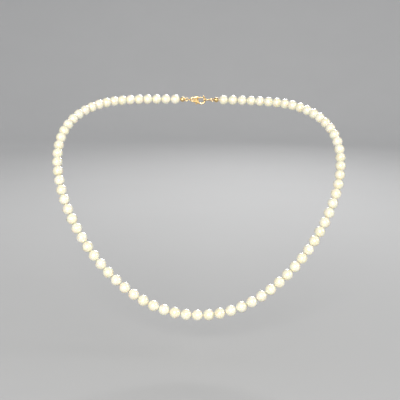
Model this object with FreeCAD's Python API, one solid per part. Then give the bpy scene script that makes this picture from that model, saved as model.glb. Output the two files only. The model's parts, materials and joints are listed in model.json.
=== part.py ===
import FreeCAD, Part
import math
import os

# A single-strand pearl necklace, as worn: the loop is fastened and hangs from the neck.
# Millimetres. +Z is up, +Y is towards the nape, +X is across the neck.
# The origin is the middle of the loop, where the neck stands.

# ---- driving dimensions ----
pearl_diameter = 6.1
pearl_bore = 0.8
pearls_per_side = 40
pearls_per_link = 2
thread_diameter = 0.5

# One side of the strand's line, from the middle of the front to the clasp.
# It falls steeply down the chest, flattens over the shoulder and runs level round the nape.
nape_y = 56.0
nape_z = 55.0
clasp_half_length = 12.6
strand_line = [
    (0.0, -57.5, -55.0),
    (21.5, -57.5, -51.0),
    (45.0, -53.5, -36.5),
    (66.5, -41.5, -12.5),
    (79.5, -25.0, 15.5),
    (79.5, 0.0, 39.5),
    (63.0, 27.5, 52.5),
    (37.0, 49.0, 55.0),
    (clasp_half_length, nape_y, nape_z),
]
arc_share = 0.45  # of a run, taken by the thread's arc at each of its ends

# Bead tips: hollow clamshells that hold the thread's end knots.
tip_radius = 1.6
tip_wall = 0.2
tip_hole = 0.7
tip_seam = 0.1
tip_gap = 0.1  # between the strand's end and the shell
tip_loop_radius = 0.9
tip_loop_wire = 0.5
tip_overlap = 0.1  # of the loop into the shell
knot_radius = 0.65
knot_face = 0.5  # from the knot's middle to the flat where the thread enters

# Rings. Both lie level, through upright loops.
jump_ring_radius = 1.7
jump_ring_wire = 0.6
jump_ring_slit = 0.06
catch_ring_radius = 2.8
catch_ring_wire = 0.7

# Lobster clasp. Its plate is upright; u runs to the hook's end (+X) and w runs up (+Z).
hook_x = 1.175  # the middle of the hook's hole
hook_outer = 3.0
hook_hole = 1.9
tail_u = -5.9
tail_outer = 1.3
tail_hole = 0.7
tail_step_u = -4.6
tail_thickness = 1.3
clasp_thickness = 2.2
clasp_rounding = 0.5
nose_angle = 65.0
housing_angle = 138.0
slot_width = 1.2
slot_outline = [
    (-1.0, 3.2),
    (-2.2, 3.2),
    (-4.2, 1.2),
    (-4.2, -0.5),
    (-5.1, -1.2),
    (-5.1, -3.2),
    (-2.2, -3.2),
    (-2.2, -1.0),
    (-1.0, -0.6),
]

# Lever. Its blade closes the hook from inside and its arm comes out on the spine's side.
lever_pivot = (-2.7, 0.9)
lever_thickness = 1.0
lever_boss = 0.85
blade_outline = [(0.95, 1.5), (-2.3, 1.7), (-2.1, 0.7), (-1.2, 1.0), (0.85, 0.95)]
arm_end = (-3.15, -2.6)
arm_width = 0.9
knob_radius = 0.55
pin_diameter = 0.6
pin_clearance = 0.05
spring_radius = 0.5
spring_wire = 0.14
spring_turns = 2.0
spring_pitch = 0.17
spring_lean = 14.0  # of its legs, from level
spring_side = 0.12  # from the lever's middle plane to the coil's first turn
spring_relief = (-4.4, -0.2, -1.75, 2.0)
blade_leg = 1.3
body_leg = 1.4

# Where each ring's wire passes through its loops.
jump_wire_inset = 0.05
catch_wire_inset = 0.55

X = FreeCAD.Vector(1, 0, 0)
Y = FreeCAD.Vector(0, 1, 0)
Z = FreeCAD.Vector(0, 0, 1)


def mirrored(point):
    """A point on the other side of the neck."""
    return FreeCAD.Vector(-point.x, point.y, point.z)


def side_line():
    """The strand's line on the +X side."""
    curve = Part.BSplineCurve()
    points = [FreeCAD.Vector(*p) for p in strand_line]
    curve.interpolate(Points=points, InitialTangent=X, FinalTangent=-X, Scale=False)
    return curve


def side_gaps():
    """The gaps between the pearls on the +X side, from the front pearl's to the clasp's."""
    curve = side_line()
    pitch = curve.length() / (pearls_per_side + 0.5)
    start = curve.FirstParameter
    distances = [(i + 0.5) * pitch for i in range(pearls_per_side + 1)]
    return [curve.value(curve.parameterAtDistance(d, start)) for d in distances]


def pearl(start, end):
    """A drilled pearl, centred on the thread's run from one gap to the next."""
    run = end - start
    middle = start + run * 0.5
    direction = run.normalize()
    ball = Part.makeSphere(pearl_diameter / 2)
    drill = Part.makeCylinder(
        pearl_bore / 2, 2 * pearl_diameter, FreeCAD.Vector(0, 0, -pearl_diameter)
    )
    bead = ball.cut(drill)
    bead.Placement = FreeCAD.Placement(middle, FreeCAD.Rotation(Z, direction))
    return bead


def link(gaps, number):
    """One link's pearls, as separate solids. Links are numbered from 1 at the front."""
    first = (number - 1) * pearls_per_link
    places = range(first, first + pearls_per_link)
    return Part.Compound([pearl(gaps[i], gaps[i + 1]) for i in places])


def rounded_path(points):
    """Straight runs joined by tangent arcs, as one wire."""
    edges = []
    here = points[0]
    for before, corner, after in zip(points, points[1:], points[2:]):
        reach = arc_share * min((corner - before).Length, (after - corner).Length)
        into = (corner - before).normalize()
        out = (after - corner).normalize()
        start = corner - into * reach
        end = corner + out * reach
        inward = (out - into).normalize()
        middle = corner + inward * reach * math.tan(into.getAngle(out) / 4)
        edges.append(Part.LineSegment(here, start).toShape())
        edges.append(Part.Arc(start, middle, end).toShape())
        here = end
    edges.append(Part.LineSegment(here, points[-1]).toShape())
    return Part.Wire(edges)


def tip_x(side):
    """The middle of a bead tip's shell. side is 1 for +X and -1 for -X."""
    return side * (clasp_half_length - tip_gap - tip_radius)


def tip_loop_x(side):
    """The middle of a bead tip's loop, towards the clasp from its shell."""
    reach = tip_radius - tip_overlap + tip_loop_radius + tip_loop_wire / 2
    return tip_x(side) - side * reach


def at_nape(x):
    """A point on the level line of the fastening, behind the nape."""
    return FreeCAD.Vector(x, nape_y, nape_z)


def thread(gaps):
    """The whole thread, from one end knot to the other, through every pearl."""
    right = gaps + [at_nape(tip_x(1) + knot_face)]
    left = [mirrored(p) for p in reversed(right)]
    section = Part.Circle(left[0], X, thread_diameter / 2).toShape()
    return rounded_path(left + right).makePipeShell([Part.Wire([section])], True, False)


def end_knot(side):
    """The knot that keeps the thread in its bead tip, flat where the thread enters."""
    rim = math.degrees(math.asin(knot_face / knot_radius))
    return Part.makeSphere(knot_radius, at_nape(tip_x(side)), X * side, -90, rim)


def ring(middle, axis, radius, wire):
    """A ring of round wire. radius is to the middle of the wire."""
    return Part.makeTorus(radius, wire / 2, middle, axis)


def bead_tip(side):
    """A clamshell round the end knot: two cups with a seam between, and a loop."""
    middle = at_nape(tip_x(side))
    shell = Part.makeSphere(tip_radius, middle)
    shell = shell.cut(Part.makeSphere(tip_radius - tip_wall, middle))
    hole = Part.makeCylinder(tip_hole / 2, 2 * tip_radius, middle, X * side)
    size = 2 * tip_radius
    corner = middle - FreeCAD.Vector(tip_radius, tip_seam / 2, tip_radius / 2)
    seam = Part.makeBox(size, tip_seam, size, corner)
    loop = ring(at_nape(tip_loop_x(side)), Y, tip_loop_radius, tip_loop_wire)
    return shell.cut(hole).cut(seam).fuse(loop)


def jump_ring():
    """The ring between the -X bead tip and the clasp, slit where it was bent shut."""
    tail_x = hook_x + tail_u
    middle = at_nape(tail_x - jump_wire_inset - jump_ring_radius)
    body = ring(middle, Z, jump_ring_radius, jump_ring_wire)
    corner = middle - FreeCAD.Vector(jump_ring_slit / 2, 0, jump_ring_wire)
    slit = Part.makeBox(jump_ring_slit, 2 * jump_ring_radius, 2 * jump_ring_wire, corner)
    return body.cut(slit)


def catch_ring():
    """The ring on the +X bead tip, in the clasp's hook."""
    middle_x = hook_x + hook_hole - catch_wire_inset + catch_ring_radius
    return ring(at_nape(middle_x), Z, catch_ring_radius, catch_ring_wire)


def place(u, w, v=0.0):
    """A point of the clasp. v runs through its thickness, towards -Y."""
    return FreeCAD.Vector(hook_x + u, nape_y - v, nape_z + w)


def prism(outline, thickness):
    """A flat piece of the clasp, centred in its thickness."""
    points = [place(u, w, thickness / 2) for u, w in outline]
    face = Part.Face(Part.makePolygon(points + points[:1]))
    return face.extrude(Y * thickness)


def disc(u, w, radius, thickness):
    """A round piece of the clasp, centred in its thickness."""
    return Part.makeCylinder(radius, thickness, place(u, w, thickness / 2), Y)


def plate():
    """The clasp's rounded plate: a teardrop round the hook's hole and the tail's eye."""
    slope = (hook_outer - tail_outer) / -tail_u
    along = math.sqrt(1 - slope**2)
    sides = [
        (-slope * hook_outer, along * hook_outer),
        (tail_u - slope * tail_outer, along * tail_outer),
        (tail_u - slope * tail_outer, -along * tail_outer),
        (-slope * hook_outer, -along * hook_outer),
    ]
    blank = prism(sides, clasp_thickness)
    blank = blank.fuse(disc(0, 0, hook_outer, clasp_thickness))
    blank = blank.fuse(disc(tail_u, 0, tail_outer, clasp_thickness)).removeSplitter()
    blank = blank.cut(disc(0, 0, hook_hole, clasp_thickness))
    rims = [e for e in blank.Edges if on_a_face_of_the_plate(e)]
    return blank.makeFillet(clasp_rounding, rims)


def on_a_face_of_the_plate(edge):
    """Whether an edge runs round one face, not through the thickness."""
    return edge.BoundBox.YLength < clasp_thickness / 2


def ray(angle, length):
    """The end of a line from the hook's middle, at an angle from u towards w."""
    turn = math.radians(angle)
    return (length * math.cos(turn), length * math.sin(turn))


def clasp_body():
    """The plate with its gate, lever slot, thinner tail, tail eye and pin hole."""
    reach = 2 * hook_outer
    gate = [(0, 0), ray(nose_angle, reach), ray(housing_angle, reach)]
    body = plate().cut(prism(gate, clasp_thickness))
    body = body.cut(prism(slot_outline, slot_width))
    for v in (-tail_thickness / 2, tail_thickness / 2 + clasp_thickness):
        corner = place(tail_step_u - hook_outer, -hook_outer, v)
        cheek = Part.makeBox(hook_outer, clasp_thickness, 2 * hook_outer, corner)
        body = body.cut(cheek)
    body = body.cut(disc(tail_u, 0, tail_hole, clasp_thickness))
    return body.cut(disc(*lever_pivot, pin_diameter / 2, clasp_thickness))


def clasp_lever():
    """The lever: a boss on the pin, a blade to the nose and an arm with a knob."""
    u, w = lever_pivot
    half = arm_width / 2
    end_u, end_w = arm_end
    arm = [(u - half, w), (end_u - half, end_w), (end_u + half, end_w), (u + half, w)]
    lever = disc(u, w, lever_boss, lever_thickness)
    lever = lever.fuse(prism(blade_outline, lever_thickness))
    lever = lever.fuse(prism(arm, lever_thickness))
    lever = lever.fuse(disc(end_u, end_w, knob_radius, lever_thickness))
    hole = disc(u, w, pin_diameter / 2 + pin_clearance, lever_thickness)
    low_u, low_w, high_u, high_w = spring_relief
    size = (high_u - low_u, lever_thickness, high_w - low_w)
    return lever.cut(hole).cut(Part.makeBox(*size, place(low_u, low_w)))


def lever_pin():
    """The lever's pin, flush with both faces of the body."""
    return disc(*lever_pivot, pin_diameter / 2, clasp_thickness)


def lever_spring():
    """A torsion spring round the pin: one leg under the blade, one against the body."""
    height = spring_turns * spring_pitch
    bottom = FreeCAD.Vector(spring_radius, 0, 0)
    top = FreeCAD.Vector(spring_radius, 0, height)
    slope = spring_pitch / (2 * math.pi * spring_radius)
    along = FreeCAD.Vector(0, 1, slope).normalize()
    first = Part.LineSegment(bottom - along * blade_leg, bottom).toShape()
    coil = Part.makeHelix(spring_pitch, height, spring_radius)
    last = Part.LineSegment(top, top + along * body_leg).toShape()
    path = Part.Wire([first] + coil.Edges + [last])
    section = Part.Circle(bottom - along * blade_leg, along, spring_wire / 2).toShape()
    spring = path.makePipeShell([Part.Wire([section])], True, False)
    upright = FreeCAD.Rotation(X, -90)
    turned = FreeCAD.Rotation(Y, 90 - spring_lean)
    middle = place(*lever_pivot, -spring_side)
    spring.Placement = FreeCAD.Placement(middle, turned * upright)
    return spring


def parts():
    """Every piece, by the name of its file."""
    gaps = side_gaps()
    mirrored_gaps = [mirrored(p) for p in gaps]
    made = {
        "pearl_centre": pearl(mirrored_gaps[0], gaps[0]),
        "thread": thread(gaps),
        "right_bead_tip": bead_tip(1),
        "left_bead_tip": bead_tip(-1),
        "right_end_knot": end_knot(1),
        "left_end_knot": end_knot(-1),
        "catch_ring": catch_ring(),
        "jump_ring": jump_ring(),
        "clasp_body": clasp_body(),
        "clasp_lever": clasp_lever(),
        "clasp_lever_pin": lever_pin(),
        "clasp_lever_spring": lever_spring(),
    }
    for number in range(1, pearls_per_side // pearls_per_link + 1):
        made[f"right_pearls_{number:02d}"] = link(gaps, number)
        made[f"left_pearls_{number:02d}"] = link(mirrored_gaps, number)
    return made


os.makedirs("parts", exist_ok=True)
for name, shape in parts().items():
    shape.exportStep(f"parts/{name}.step")
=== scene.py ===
"""The looks of a pearl necklace, fastened as it hangs from a neck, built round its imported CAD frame.

Lengths are in metres. +Z is up, +Y is towards the nape and +X is across the neck.
"""
import json
import math
import random

import bpy
from mathutils import Matrix, Vector, noise


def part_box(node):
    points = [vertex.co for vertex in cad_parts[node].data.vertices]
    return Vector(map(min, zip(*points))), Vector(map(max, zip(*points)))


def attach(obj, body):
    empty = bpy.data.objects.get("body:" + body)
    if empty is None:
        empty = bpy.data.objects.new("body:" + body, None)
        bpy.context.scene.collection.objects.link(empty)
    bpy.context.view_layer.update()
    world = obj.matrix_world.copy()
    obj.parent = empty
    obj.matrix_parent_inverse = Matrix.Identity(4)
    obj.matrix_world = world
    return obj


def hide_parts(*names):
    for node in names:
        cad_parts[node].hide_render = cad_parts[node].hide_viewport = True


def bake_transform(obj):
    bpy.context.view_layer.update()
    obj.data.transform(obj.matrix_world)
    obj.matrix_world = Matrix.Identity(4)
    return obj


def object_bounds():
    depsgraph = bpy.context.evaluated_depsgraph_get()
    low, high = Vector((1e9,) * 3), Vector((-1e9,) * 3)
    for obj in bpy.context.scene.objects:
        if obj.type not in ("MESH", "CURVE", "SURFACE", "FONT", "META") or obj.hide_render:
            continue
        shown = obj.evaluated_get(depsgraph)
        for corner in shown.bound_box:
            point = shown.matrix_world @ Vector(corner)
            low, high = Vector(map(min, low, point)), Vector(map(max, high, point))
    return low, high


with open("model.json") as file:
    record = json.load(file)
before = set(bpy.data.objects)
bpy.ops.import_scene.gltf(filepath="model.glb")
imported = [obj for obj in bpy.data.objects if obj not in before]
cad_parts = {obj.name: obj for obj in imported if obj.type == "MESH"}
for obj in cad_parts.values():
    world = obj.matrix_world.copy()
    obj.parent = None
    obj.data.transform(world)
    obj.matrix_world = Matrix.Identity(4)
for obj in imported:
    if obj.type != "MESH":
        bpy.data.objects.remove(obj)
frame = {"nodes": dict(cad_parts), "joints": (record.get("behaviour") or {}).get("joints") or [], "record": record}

cad_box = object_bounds()

MM = 0.001
SIDES = ("right", "left")
SEED = 6
X_AXIS = Vector((1, 0, 0))
Y_AXIS = Vector((0, 1, 0))
Z_AXIS = Vector((0, 0, 1))

# ---- pearls ----
PEARL_SEGMENTS = 48
PEARL_RINGS = 30
BORE_RADIUS = 0.40 * MM
RIM_ROUNDING = 0.14 * MM
SMALLEST_PEARL = 0.99  # of the full size; the strand is matched, not identical
OUT_OF_ROUND = 0.006  # the most that a pearl is shorter along the thread, of its size
LUMP_HEIGHT = 0.005  # of the radius
LUMP_SCALE = 1.4  # noise cells to a radius
DIMPLES = (1, 4)  # on a pearl, fewest and most
DIMPLE_WIDTH = (0.10, 0.24)  # radians, seen from the pearl's middle
DIMPLE_DEPTH = (0.004, 0.011)  # of the radius

# ---- thread ----
THREAD_RADIUS = 0.22 * MM
THREAD_STEPS = 14  # points along each short piece
THREAD_SIDES = 15
PLIES = 3
PLY_DEPTH = 0.16  # of the radius
TWIST_LENGTH = 0.9 * MM  # for one turn
TIP_GAP = 0.1 * MM  # between the last pearl's gap point and the bead tip
KNOT_SIZE = 0.21 * MM  # the trefoil curve's unit
KNOT_STEPS = 60
KNOT_TWIST = math.tau / PLIES / 6  # the yarn's turn from one point to the next

# ---- rings and castings ----
RING_STEPS = 96
RING_SIDES = 20
JUMP_RING_SLIT = 0.06 * MM
CASTINGS = (  # node, voxel size and rounds of smoothing
    ("clasp_body", 0.055 * MM, 6),
    ("clasp_lever", 0.05 * MM, 3),
    ("right_bead_tip", 0.04 * MM, 2),
    ("left_bead_tip", 0.04 * MM, 2),
)

# ---- lever spring ----
SPRING_WIRE = 0.14 * MM
SPRING_RADIUS = 0.5 * MM
SPRING_TURNS = 2
SPRING_LEAN = 14.0  # degrees that its legs lean from level
BLADE_LEG = 1.3 * MM
BODY_LEG = 1.4 * MM
TURN_STEPS = 28
LEG_STEPS = 16
SPRING_SIDES = 12

# ---- stage and camera ----
LIGHT_SPREAD = 56  # degrees across its beam
LIGHT_SIZE = 0.60  # across
OPEN_SPREAD = 180  # degrees, for a lamp that lights all that it faces
FLOOR_DROP = 22 * MM  # below the lowest pearl
FLOOR_RADIUS = 1.1  # where it starts to sweep up into the backdrop
SWEEP_RADIUS = 1.0
BACKDROP_HEIGHT = 1.0
BACKDROP_SEGMENTS = 96
SWEEP_STEPS = 16
# The floor's colour is painted light: darker near the middle, where the lamps' light pools, and paler far out,
# where less light reaches it.
PAINTED_SHADE_NEAR = (0.42, 0.42, 0.42)
PAINTED_LIGHT_FAR = (0.80, 0.80, 0.80)
PAINTED_LIGHT_FADE = (0.1, 1.0)  # distances from the middle of the stage over which the painted light goes from dark to pale
VIEW_AIM = Vector((0.95, 0.0, -1.37)) * MM
VIEW_DISTANCE = 0.524
VIEW_TILT = 9.9  # degrees down
VIEW_TURN = 0.5  # degrees towards +X
VIEW_ROLL = 0.9  # degrees
VIEW_LENS = 78.9  # mm, on a sensor SENSOR_WIDTH wide
SENSOR_WIDTH = 36


# ---------------------------------------------------------------- meshes


def add_piece(name, vertices, faces, material):
    """A mesh piece, with its vertices where they belong on the necklace."""
    mesh = bpy.data.meshes.new(name)
    mesh.from_pydata([tuple(v) for v in vertices], [], faces)
    mesh.materials.append(material)
    mesh.polygons.foreach_set("use_smooth", [True] * len(mesh.polygons))
    mesh.update()
    piece = bpy.data.objects.new(name, mesh)
    bpy.context.scene.collection.objects.link(piece)
    return piece


def grid_faces(rows, columns, close_rows):
    """Quads over closed rows of points. The last row joins the first if close_rows."""
    faces = []
    for row in range(rows if close_rows else rows - 1):
        here = row * columns
        there = (row + 1) % rows * columns
        for column in range(columns):
            after = (column + 1) % columns
            faces.append((here + column, here + after, there + after, there + column))
    return faces


def turned_towards(direction):
    """The rotation that takes +Z to a direction."""
    return direction.to_track_quat("Z", "Y").to_matrix()


def path_frames(points, closed):
    """A tangent and a normal at each point of a path, with no sudden twist."""
    count = len(points)
    tangents = []
    for i in range(count):
        before = points[(i - 1) % count] if closed or i > 0 else points[i]
        after = points[(i + 1) % count] if closed or i < count - 1 else points[i]
        tangents.append((after - before).normalized())
    normal = tangents[0].orthogonal().normalized()
    frames = []
    for tangent in tangents:
        normal = (normal - tangent * normal.dot(tangent)).normalized()
        frames.append((tangent, normal))
    return frames


def tube(name, points, radius, sides, material, closed=False, plies=0, twist=0.0):
    """A tube along a path. With plies, it is a twisted yarn, and twist is its turn at each point."""
    vertices = []
    for i, (point, (tangent, normal)) in enumerate(zip(points, path_frames(points, closed))):
        across = tangent.cross(normal)
        for side in range(sides):
            angle = math.tau * side / sides
            ply = math.cos(plies * (angle - i * twist)) if plies else 0.0
            reach = radius * (1 - PLY_DEPTH * (1 - ply) / 2)
            vertices.append(point + (normal * math.cos(angle) + across * math.sin(angle)) * reach)
    faces = grid_faces(len(points), sides, closed)
    if not closed:
        last = len(vertices) - sides
        faces.append(tuple(reversed(range(sides))))
        faces.append(tuple(range(last, last + sides)))
    return add_piece(name, vertices, faces, material)


def ring_points(middle, axis, radius, steps, slit=0.0):
    """Points round a circle. With a slit, they stop short of meeting by that length."""
    turn = turned_towards(axis)
    opening = slit / radius
    reach = math.tau - opening
    last = steps - 1 if slit else steps
    angles = [opening / 2 + reach * i / last for i in range(steps)]
    return [middle + turn @ Vector((math.cos(a), math.sin(a), 0)) * radius for a in angles]


def softened(node, voxel, rounds, material):
    """A piece that stands for a CAD node, with the soft edges of cast and tumbled metal."""
    source = frame["nodes"][node]
    draft = bpy.data.objects.new("draft", source.data.copy())
    bpy.context.scene.collection.objects.link(draft)
    remesh = draft.modifiers.new("remesh", "REMESH")
    remesh.mode = "VOXEL"
    remesh.voxel_size = voxel
    smooth = draft.modifiers.new("smooth", "SMOOTH")
    smooth.factor = 0.5
    smooth.iterations = rounds
    graph = bpy.context.evaluated_depsgraph_get()
    mesh = bpy.data.meshes.new_from_object(draft.evaluated_get(graph))
    bpy.data.objects.remove(draft)
    mesh.materials.clear()
    mesh.materials.append(material)
    mesh.polygons.foreach_set("use_smooth", [True] * len(mesh.polygons))
    piece = bpy.data.objects.new("cast_" + node, mesh)
    mesh.name = piece.name
    bpy.context.scene.collection.objects.link(piece)
    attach(piece, body_with(node))
    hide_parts(node)
    return piece


# ---------------------------------------------------------------- materials


class Nodes:
    """A material's node tree, with short ways to add to it."""

    def __init__(self, name):
        self.material = bpy.data.materials.new(name)
        self.material.use_nodes = True
        self.tree = self.material.node_tree
        self.shader = self.tree.nodes["Principled BSDF"]
        coordinates = self.tree.nodes.new("ShaderNodeTexCoord")
        self.place = coordinates.outputs["Object"]

    def link(self, source, target):
        self.tree.links.new(source, target)

    def set(self, **values):
        """Values on the shader's own sockets; a socket's name has _ for each space."""
        for name, value in values.items():
            self.shader.inputs[name.replace("_", " ")].default_value = value

    def add(self, kind, **values):
        node = self.tree.nodes.new("ShaderNode" + kind)
        for name, value in values.items():
            setattr(node, name, value)
        return node

    def noise(self, scale, detail=2.0, roughness=0.5, stretch=None):
        """Noise with about scale grains to the metre."""
        node = self.add("TexNoise")
        node.inputs["Scale"].default_value = scale
        node.inputs["Detail"].default_value = detail
        node.inputs["Roughness"].default_value = roughness
        place = self.place
        if stretch:
            mapping = self.add("Mapping")
            mapping.inputs["Scale"].default_value = stretch
            self.link(place, mapping.inputs["Vector"])
            place = mapping.outputs["Vector"]
        self.link(place, node.inputs["Vector"])
        return node.outputs["Fac"]

    def ramp(self, source, *stops):
        """A colour ramp: stops are (position, colour)."""
        node = self.add("ValToRGB")
        elements = node.color_ramp.elements
        while len(elements) < len(stops):
            elements.new(0.5)
        for element, (position, colour) in zip(elements, stops):
            element.position = position
            element.color = (*colour, 1.0)
        self.link(source, node.inputs["Fac"])
        return node.outputs["Color"]

    def spread(self, source, low, high, from_low=0.3, from_high=0.7):
        """A number, taken from one range to another."""
        node = self.add("MapRange")
        ends = {"From Min": from_low, "From Max": from_high, "To Min": low, "To Max": high}
        for name, value in ends.items():
            node.inputs[name].default_value = value
        self.link(source, node.inputs["Value"])
        return node.outputs["Result"]

    def mix(self, kind, factor, first, second):
        """Two colours, mixed or multiplied. Each can be a socket or a value."""
        node = self.add("Mix", data_type="RGBA", blend_type=kind)
        for socket, value in zip((node.inputs[0], node.inputs[6], node.inputs[7]), (factor, first, second)):
            if isinstance(value, bpy.types.NodeSocket):
                self.link(value, socket)
            else:
                socket.default_value = value
        return node.outputs[2]

    def bump(self, source, strength, distance, under=None):
        """A bumped normal from a height, on top of another bump if one is given."""
        node = self.add("Bump")
        node.inputs["Strength"].default_value = strength
        node.inputs["Distance"].default_value = distance
        self.link(source, node.inputs["Height"])
        if under is not None:
            self.link(under, node.inputs["Normal"])
        return node.outputs["Normal"]


def nacre():
    """Cream nacre: a warm body under a clear lustre, with faint clouds, a fine grain and pinholes."""
    n = Nodes("nacre")
    clouds = n.noise(330, 2.0)
    body = n.ramp(
        clouds, (0.30, (0.87, 0.81, 0.64)), (0.52, (0.92, 0.88, 0.75)), (0.72, (0.96, 0.93, 0.83))
    )
    tint = n.add("Attribute", attribute_name="tint")
    overtone = n.ramp(
        tint.outputs["Fac"], (0.0, (0.95, 0.91, 0.74)), (0.5, (0.98, 0.96, 0.86)), (1.0, (1.0, 0.94, 0.87))
    )
    n.link(n.mix("MULTIPLY", 0.55, body, overtone), n.shader.inputs["Base Color"])
    n.link(n.spread(n.noise(1400, 3.0), 0.24, 0.36), n.shader.inputs["Roughness"])
    n.set(
        Metallic=0.16,
        Subsurface_Weight=0.22,
        Subsurface_Radius=(1.0, 0.72, 0.42),
        Subsurface_Scale=0.9 * MM,
        IOR=1.56,
        Coat_Weight=0.7,
        Coat_Roughness=0.06,
        Coat_IOR=1.5,
        Sheen_Weight=0.12,
        Sheen_Roughness=0.35,
        Sheen_Tint=(1.0, 0.90, 0.78, 1.0),
        Thin_Film_Thickness=420.0,
        Thin_Film_IOR=1.45,
    )
    pinholes = n.add("TexVoronoi")
    pinholes.inputs["Scale"].default_value = 620
    n.link(n.place, pinholes.inputs["Vector"])
    holes = n.spread(pinholes.outputs["Distance"], 0.0, 1.0, 0.02, 0.11)
    grain = n.bump(n.noise(2600, 4.0, 0.6), 0.05, 0.03 * MM)
    n.link(n.bump(holes, 0.16, 0.03 * MM, grain), n.shader.inputs["Normal"])
    return n.material


def silk():
    """Off-white twisted silk: fine fibres along the yarn, with a soft sheen."""
    n = Nodes("silk")
    fibres = n.noise(5200, 3.0, 0.6)
    colour = n.ramp(
        fibres, (0.30, (0.66, 0.60, 0.47)), (0.60, (0.86, 0.81, 0.68)), (0.80, (0.94, 0.91, 0.82))
    )
    n.link(colour, n.shader.inputs["Base Color"])
    n.link(n.spread(fibres, 0.50, 0.72), n.shader.inputs["Roughness"])
    n.set(Sheen_Weight=0.5, Sheen_Roughness=0.4, Sheen_Tint=(1.0, 0.96, 0.86, 1.0))
    n.link(n.bump(fibres, 0.5, 0.04 * MM), n.shader.inputs["Normal"])
    return n.material


def metal(name, dark, light, rough, scratches):
    """Polished metal, with fine wear scratches, cloudy tarnish and brighter rubbed edges."""
    n = Nodes(name)
    tarnish = n.noise(700, 4.0, 0.6)
    colour = n.ramp(tarnish, (0.28, dark), (0.60, light))
    edge = n.add("NewGeometry").outputs["Pointiness"]
    rubbed = n.spread(edge, 0.0, 1.0, 0.52, 0.62)
    bright = tuple(min(1.0, c * 1.12 + 0.03) for c in light)
    n.link(n.mix("MIX", rubbed, colour, (*bright, 1.0)), n.shader.inputs["Base Color"])
    along = n.noise(9000, 2.0, 0.6, (1.0, 0.12, 0.12))
    n.link(n.spread(along, rough, rough + 0.14), n.shader.inputs["Roughness"])
    n.set(Metallic=1.0)
    n.link(n.bump(along, scratches, 0.01 * MM), n.shader.inputs["Normal"])
    return n.material


def paper_with_painted_light():
    """The stage's paper: faintly mottled, with painted light in its colour: darker in the middle, under the lamps'
    pool, and paler where it sweeps up, far from the lights.
    """
    n = Nodes("paper_with_painted_light")
    # Painted light: the colour is graded by distance from the middle, dark under the lamps' pool and pale far out,
    # to even out how the light falls.
    distance = n.add("VectorMath", operation="LENGTH")
    n.link(n.place, distance.inputs[0])
    painted_light_share = n.spread(distance.outputs["Value"], 0.0, 1.0, *PAINTED_LIGHT_FADE)
    painted_light_grade = n.ramp(painted_light_share, (0.0, PAINTED_SHADE_NEAR), (1.0, PAINTED_LIGHT_FAR))
    mottle = n.ramp(n.noise(9, 2.0), (0.3, (0.985, 0.985, 0.985)), (0.7, (1.0, 1.0, 1.0)))
    n.link(n.mix("MULTIPLY", 1.0, painted_light_grade, mottle), n.shader.inputs["Base Color"])
    n.set(Roughness=0.85, Specular_IOR_Level=0.2)
    return n.material


# ---------------------------------------------------------------- the strand


def body_with(node):
    """The body that holds a CAD node."""
    bodies = frame["record"]["behaviour"]["bodies"]
    return next(name for name, nodes in bodies.items() if node in nodes)


def middle_of(node):
    """The middle of a CAD node's box."""
    low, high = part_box(node)
    return (low + high) / 2


def strand_end(side):
    """The gap between a side's last pearl and its bead tip."""
    low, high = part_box(side + "_bead_tip")
    outer = high.x + TIP_GAP if side == "right" else low.x - TIP_GAP
    middle = (low + high) / 2
    return Vector((outer, middle.y, middle.z))


def gap_points(side):
    """The gaps along one side of the strand, from the front pearl's to the bead tip's."""
    hinges = [j for j in frame["joints"] if j["child"].startswith(side + "_link_")]
    ends = [Vector(j["pos_m"]) for j in hinges] + [strand_end(side)]
    gaps = ends[:1]
    for number, (start, end) in enumerate(zip(ends, ends[1:]), 1):
        low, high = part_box(f"{side}_pearls_{number:02d}")
        gaps.append(low + high - (start + end) / 2)
        gaps.append(end)
    return gaps


def pearl_profile(radius):
    """A drilled pearl's half outline, closed through the bore: (distance from the axis, height)."""
    flare = math.asin((BORE_RADIUS + RIM_ROUNDING) / radius)
    angles = [flare + (math.pi - 2 * flare) * i / (PEARL_RINGS - 1) for i in range(PEARL_RINGS)]
    outside = [(radius * math.sin(a), radius * math.cos(a)) for a in angles]
    edge = outside[0][1]
    rim = [
        (BORE_RADIUS, edge - 1.4 * RIM_ROUNDING),
        (BORE_RADIUS + 0.10 * RIM_ROUNDING, edge - 0.55 * RIM_ROUNDING),
        (BORE_RADIUS + 0.45 * RIM_ROUNDING, edge - 0.10 * RIM_ROUNDING),
    ]
    lower_rim = [(r, -z) for r, z in reversed(rim)]
    inside = [(BORE_RADIUS, z * radius) for z in (-0.5, 0.0, 0.5)]
    return rim + outside + lower_rim + inside


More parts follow.
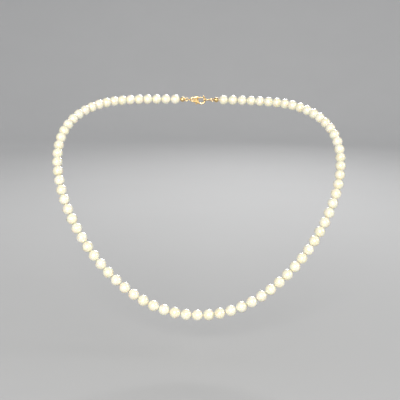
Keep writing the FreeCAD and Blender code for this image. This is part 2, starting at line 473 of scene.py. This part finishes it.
def make_pearl(name, start, end, radius, chance, material):
    """A drilled pearl on the thread's run from start to end, a little out of round and dimpled."""
    size = radius * chance.uniform(SMALLEST_PEARL, 1.0)
    stretch = 1 - chance.uniform(0.0, OUT_OF_ROUND)
    offset = Vector([chance.uniform(-50, 50) for _ in range(3)])
    dimples = []
    for _ in range(chance.randint(*DIMPLES)):
        towards = Vector([chance.gauss(0, 1) for _ in range(3)]).normalized()
        dimples.append((towards, chance.uniform(*DIMPLE_WIDTH), chance.uniform(*DIMPLE_DEPTH)))
    spin = Matrix.Rotation(chance.uniform(0, math.tau), 3, "Z")
    turn = turned_towards(end - start) @ spin
    middle = (start + end) / 2
    profile = pearl_profile(size)
    vertices = []
    for distance, height in profile:
        for segment in range(PEARL_SEGMENTS):
            angle = math.tau * segment / PEARL_SEGMENTS
            point = Vector((distance * math.cos(angle), distance * math.sin(angle), height * stretch))
            outward = point.normalized()
            if distance > BORE_RADIUS + RIM_ROUNDING:
                rise = LUMP_HEIGHT * noise.noise(outward * LUMP_SCALE + offset)
                for towards, width, depth in dimples:
                    away = outward.angle(towards) / width
                    rise -= depth * math.exp(-away * away)
                point = point * (1 + rise)
            vertices.append(middle + turn @ point)
    faces = grid_faces(len(profile), PEARL_SEGMENTS, True)
    piece = add_piece(name, vertices, faces, material)
    tint = piece.data.attributes.new("tint", "FLOAT", "POINT")
    tint.data.foreach_set("value", [chance.random()] * len(vertices))
    return piece


def bezier(start, pull, end, steps):
    """Points along a curve from start to end that leans towards pull."""
    shares = [i / (steps - 1) for i in range(steps)]
    return [start * (1 - t) ** 2 + pull * 2 * t * (1 - t) + end * t * t for t in shares]


def make_thread(name, start, gap, end, material):
    """The thread from inside one pearl, through the gap, to inside the next."""
    points = bezier(start, gap, end, THREAD_STEPS)
    step = (end - start).length / (THREAD_STEPS - 1)
    twist = math.tau * step / TWIST_LENGTH / PLIES
    piece = tube(name, points, THREAD_RADIUS, THREAD_SIDES, material, plies=PLIES, twist=twist)
    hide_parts("thread")
    return piece


def make_side(side, radius, chance, pearl_material, thread_material):
    """One side's pearls and thread."""
    gaps = gap_points(side)
    front = middle_of("pearl_centre")
    middles = [front] + [(a + b) / 2 for a, b in zip(gaps, gaps[1:])]
    middles.append(middle_of(side + "_end_knot"))
    carriers = ["front"]
    for i, (start, end) in enumerate(zip(gaps, gaps[1:])):
        number = i // 2 + 1
        letter = "ab"[i % 2]
        node = f"{side}_pearls_{number:02d}"
        carriers.append(body_with(node))
        name = f"{side}_pearl_{number:02d}{letter}"
        pearl = make_pearl(name, start, end, radius, chance, pearl_material)
        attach(pearl, carriers[-1])
        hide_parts(node)
    carriers.append(carriers[-1])
    for i, gap in enumerate(gaps):
        name = f"{side}_thread_{i:02d}"
        thread = make_thread(name, middles[i], gap, middles[i + 1], thread_material)
        before, after = carriers[i], carriers[i + 1]
        if before == after:
            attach(thread, before)
            continue
        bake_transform(thread)


def make_knot(side, material):
    """The overhand knot in the end of the thread."""
    middle = middle_of(side + "_end_knot")
    points = []
    for i in range(KNOT_STEPS):
        t = math.tau * i / KNOT_STEPS
        lean = (math.sin(t) + 2 * math.sin(2 * t), math.cos(t) - 2 * math.cos(2 * t), -math.sin(3 * t))
        points.append(middle + turned_towards(X_AXIS) @ Vector(lean) * KNOT_SIZE)
    name = side + "_knot"
    yarn = {"closed": True, "plies": PLIES, "twist": KNOT_TWIST}
    knot = tube(name, points, THREAD_RADIUS, THREAD_SIDES, material, **yarn)
    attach(knot, body_with(side + "_end_knot"))
    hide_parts(side + "_end_knot")


# ---------------------------------------------------------------- the clasp


def make_ring(node, material, slit=0.0):
    """A wire ring that lies level, as its CAD node does."""
    low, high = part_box(node)
    wire = high.z - low.z
    radius = (high.y - low.y - wire) / 2
    points = ring_points((low + high) / 2, Z_AXIS, radius, RING_STEPS, slit)
    ring = tube(node + "_wire", points, wire / 2, RING_SIDES, material, closed=not slit)
    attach(ring, body_with(node))
    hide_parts(node)


def make_spring(material):
    """The lever's torsion spring: one leg follows the lever's blade, the other rests on the body."""
    low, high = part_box("clasp_lever_spring")
    press = next(j for j in frame["joints"] if j["name"] == "clasp_lever_press")
    near = low.y + SPRING_WIRE / 2
    rise = high.y - SPRING_WIRE / 2 - near
    middle = Vector((press["pos_m"][0], near, press["pos_m"][2]))
    lean = math.radians(SPRING_LEAN)
    outward = Vector((math.cos(lean), 0, math.sin(lean)))  # along the blade leg
    down = Vector((math.sin(lean), 0, -math.cos(lean)))
    root = middle + down * SPRING_RADIUS
    points = [root + outward * BLADE_LEG * (1 - i / LEG_STEPS) for i in range(LEG_STEPS)]
    coil_steps = SPRING_TURNS * TURN_STEPS
    for i in range(coil_steps + 1):
        angle = math.tau * i / TURN_STEPS
        spoke = down * math.cos(angle) - outward * math.sin(angle)
        points.append(middle + spoke * SPRING_RADIUS + Y_AXIS * rise * i / coil_steps)
    foot = points[-1]
    points += [foot - outward * BODY_LEG * i / LEG_STEPS for i in range(1, LEG_STEPS + 1)]
    spring = tube("lever_spring", points, SPRING_WIRE / 2, SPRING_SIDES, material)
    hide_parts("clasp_lever_spring")
    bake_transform(spring)


def make_clasp(gold):
    """The clasp's castings, the bead tips and the rings."""
    for node, voxel, rounds in CASTINGS:
        softened(node, voxel, rounds, gold)
    make_ring("catch_ring", gold)
    make_ring("jump_ring", gold, slit=JUMP_RING_SLIT)


def paint(node, material):
    """Gives a CAD node that stays its finished material."""
    data = frame["nodes"][node].data
    data.materials.clear()
    data.materials.append(material)


# ---------------------------------------------------------------- stage


def make_camera():
    """The camera, in front of the necklace and a little above it."""
    tilt = math.radians(VIEW_TILT)
    turn = math.radians(VIEW_TURN)
    ahead = Vector((math.sin(turn) * math.cos(tilt), math.cos(turn) * math.cos(tilt), -math.sin(tilt)))
    data = bpy.data.cameras.new("camera")
    data.lens = VIEW_LENS
    data.sensor_width = SENSOR_WIDTH
    data.clip_start = 0.01
    data.clip_end = 50
    camera = bpy.data.objects.new("camera", data)
    upright = ahead.to_track_quat("-Z", "Y").to_matrix()
    roll = Matrix.Rotation(math.radians(VIEW_ROLL), 3, "Z")
    camera.matrix_world = Matrix.Translation(VIEW_AIM - ahead * VIEW_DISTANCE) @ (upright @ roll).to_4x4()
    bpy.context.scene.collection.objects.link(camera)
    bpy.context.scene.camera = camera


def softbox(name, place, power, size=LIGHT_SIZE, colour=(1, 1, 1), spread=LIGHT_SPREAD):
    """A round soft light, aimed at the necklace."""
    data = bpy.data.lights.new(name, "AREA")
    data.shape = "DISK"
    data.size = size
    data.energy = power
    data.color = colour
    data.spread = math.radians(spread)
    lamp = bpy.data.objects.new(name, data)
    lamp.location = place
    lamp.rotation_euler = (-Vector(place)).to_track_quat("-Z", "Y").to_euler()
    bpy.context.scene.collection.objects.link(lamp)


def make_backdrop():
    """A round pale floor that sweeps up into a backdrop all round."""
    height = cad_box[0].z - FLOOR_DROP
    profile = [(FLOOR_RADIUS + SWEEP_RADIUS, BACKDROP_HEIGHT)]
    for i in reversed(range(SWEEP_STEPS + 1)):
        turn = math.pi / 2 * i / SWEEP_STEPS
        rise = SWEEP_RADIUS * (1 - math.cos(turn))
        profile.append((FLOOR_RADIUS + SWEEP_RADIUS * math.sin(turn), height + rise))
    profile.append((FLOOR_RADIUS / 2, height))
    vertices = []
    for radius, z in profile:
        for segment in range(BACKDROP_SEGMENTS):
            angle = math.tau * segment / BACKDROP_SEGMENTS
            vertices.append((radius * math.cos(angle), radius * math.sin(angle), z))
    last = len(vertices) - BACKDROP_SEGMENTS
    faces = grid_faces(len(profile), BACKDROP_SEGMENTS, False) + [tuple(range(last, len(vertices)))]
    add_piece("floor", vertices, faces, paper_with_painted_light())


def make_stage():
    """The floor, the lights and the plain view transform, which keeps bright cream from greying."""
    make_backdrop()
    softbox("key", (-0.16, -1.30, 0.44), power=2.2, colour=(1.0, 0.99, 0.96))
    softbox("fill", (1.20, -0.30, 0.60), power=0.5)
    softbox("back", (0.20, 1.30, 0.60), power=1.5)
    softbox("overhead", (0.0, 0.0, 1.60), power=1.0, size=1.50, spread=OPEN_SPREAD)
    world = bpy.data.worlds.new("studio")
    world.use_nodes = True
    background = world.node_tree.nodes["Background"]
    background.inputs["Color"].default_value = (0.94, 0.95, 0.97, 1.0)
    background.inputs["Strength"].default_value = 0.42
    bpy.context.scene.world = world
    bpy.context.scene.view_settings.view_transform = "Standard"


# ---------------------------------------------------------------- all of it


def main():
    chance = random.Random(SEED)
    pearl_material = nacre()
    thread_material = silk()
    gold = metal("gold", (0.66, 0.43, 0.16), (0.87, 0.63, 0.30), 0.14, 0.12)
    steel = metal("steel", (0.38, 0.38, 0.39), (0.62, 0.62, 0.63), 0.22, 0.15)
    low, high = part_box("pearl_centre")
    radius = (high.z - low.z) / 2
    middle = (low + high) / 2
    half_pitch = X_AXIS * radius
    start, end = middle - half_pitch, middle + half_pitch
    front = make_pearl("front_pearl", start, end, radius, chance, pearl_material)
    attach(front, body_with("pearl_centre"))
    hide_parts("pearl_centre")
    for side in SIDES:
        make_side(side, radius, chance, pearl_material, thread_material)
        make_knot(side, thread_material)
    make_clasp(gold)
    paint("clasp_lever_pin", gold)
    make_spring(steel)
    make_camera()
    make_stage()


main()
